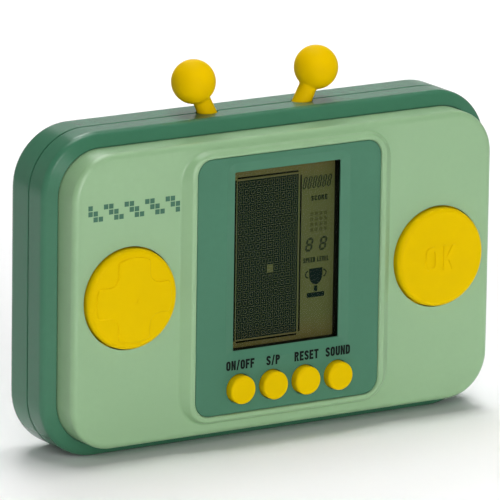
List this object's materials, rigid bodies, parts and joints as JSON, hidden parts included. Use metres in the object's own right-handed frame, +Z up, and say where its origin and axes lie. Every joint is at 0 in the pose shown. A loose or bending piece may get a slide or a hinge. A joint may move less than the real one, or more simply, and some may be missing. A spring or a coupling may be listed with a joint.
{
  "type": "handheld lcd game",
  "caption": "Palm-sized electronic game with an upright LCD window, round direction pad, round push button, small function keys and two ball-tipped antennae.",
  "frame": {"origin": "middle of the flat strip under the case, which it stands on", "axes": "+X to the player's right, +Y from the player's side to the back, +Z up"},
  "size_m": [0.115, 0.0262, 0.0849],
  "materials": {
    "dark_shell": "semi-gloss moulded ABS, dark green",
    "pale_shell": "satin moulded ABS, pale mint green",
    "yellow_plastic": "satin moulded plastic, yellow",
    "soft_yellow": "soft satin PVC, yellow",
    "white_plastic": "natural acetal",
    "black_plastic": "matt black",
    "clear_window": "clear polished acrylic",
    "polariser_film": "olive polarising film",
    "display_glass": "clear display glass",
    "reflector_film": "pearly reflective film",
    "black_rubber": "layered silicone contact strip",
    "grey_rubber": "matt grey silicone rubber",
    "board": "green solder mask",
    "carbon": "printed carbon",
    "resin": "glossy black epoxy",
    "ceramic_parts": "ceramic chip parts",
    "capacitor_can": "sleeved can",
    "brass_disc": "brushed brass with a ceramic layer",
    "red_lead": "PVC insulation, red",
    "black_lead": "PVC insulation, black",
    "cell_label": "plain wrapped cell",
    "nickel": "bright nickel plate",
    "screw_steel": "zinc-plated steel"
  },
  "bodies": {
    "case": {"antenna_left": "soft_yellow", "antenna_right": "soft_yellow", "battery_lead_black": "black_lead", "battery_lead_red": "red_lead", "battery_lower": "cell_label", "battery_upper": "cell_label", "board_screws": "screw_steel", "buzzer": "brass_disc", "buzzer_leads": "red_lead", "capacitor": "capacitor_can", "case_screws": "screw_steel", "chip_blob": "resin", "circuit_board": "board", "contact_link": "nickel", "contact_negative": "nickel", "contact_pads": "carbon", "contact_positive": "nickel", "display_frame": "black_plastic", "display_front_glass": "display_glass", "display_polariser": "polariser_film", "display_rear_glass": "display_glass", "display_reflector": "reflector_film", "dpad_rubber": "grey_rubber", "dpad_support": "white_plastic", "face_plate": "pale_shell", "front_shell": "dark_shell", "lens": "clear_window", "ok_rubber": "grey_rubber", "rear_shell": "dark_shell", "screen_panel": "dark_shell", "small_button_rubber": "grey_rubber", "small_components": "ceramic_parts", "zebra_strip": "black_rubber"},
    "dpad_pivot": {"dpad_rocker": "white_plastic"},
    "dpad": {"dpad_button": "yellow_plastic", "dpad_contact_pills": "carbon"},
    "ok": {"ok_button": "yellow_plastic", "ok_contact_pill": "carbon"},
    "on_off": {"button_on_off": "yellow_plastic", "contact_pill_on_off": "carbon"},
    "start_pause": {"button_start_pause": "yellow_plastic", "contact_pill_start_pause": "carbon"},
    "reset": {"button_reset": "yellow_plastic", "contact_pill_reset": "carbon"},
    "sound": {"button_sound": "yellow_plastic", "contact_pill_sound": "carbon"},
    "door": {"battery_door": "dark_shell", "battery_door_screw": "screw_steel"}
  },
  "joints": [
    {"name": "dpad_tilt_up_down", "type": "hinge", "parent": "case", "child": "dpad_pivot", "pos_m": [-0.04, -0.0123, 0.03693], "axis": [1, 0, 0], "range_deg": [-4, 4], "stiffness_Nm_per_rad": 0.12, "deforming": ["dpad_rubber"]},
    {"name": "dpad_tilt_left_right", "type": "hinge", "parent": "dpad_pivot", "child": "dpad", "pos_m": [-0.04, -0.0123, 0.03693], "axis": [0, 0, 1], "range_deg": [-4, 4], "stiffness_Nm_per_rad": 0.12, "deforming": ["dpad_rubber"]},
    {"name": "ok_press", "type": "slide", "parent": "case", "child": "ok", "axis": [0, 1, 0], "range_m": [0, 0.0011], "stiffness_N_per_m": 1200, "deforming": ["ok_rubber"]},
    {"name": "on_off_press", "type": "slide", "parent": "case", "child": "on_off", "axis": [0, 1, 0], "range_m": [0, 0.001], "stiffness_N_per_m": 900, "deforming": ["small_button_rubber"]},
    {"name": "start_pause_press", "type": "slide", "parent": "case", "child": "start_pause", "axis": [0, 1, 0], "range_m": [0, 0.001], "stiffness_N_per_m": 900, "deforming": ["small_button_rubber"]},
    {"name": "reset_press", "type": "slide", "parent": "case", "child": "reset", "axis": [0, 1, 0], "range_m": [0, 0.001], "stiffness_N_per_m": 900, "deforming": ["small_button_rubber"]},
    {"name": "sound_press", "type": "slide", "parent": "case", "child": "sound", "axis": [0, 1, 0], "range_m": [0, 0.001], "stiffness_N_per_m": 900, "deforming": ["small_button_rubber"]},
    {"name": "battery_door_lift", "type": "slide", "parent": "case", "child": "door", "axis": [0, 1, 0], "range_m": [0, 0.03]}
  ]
}
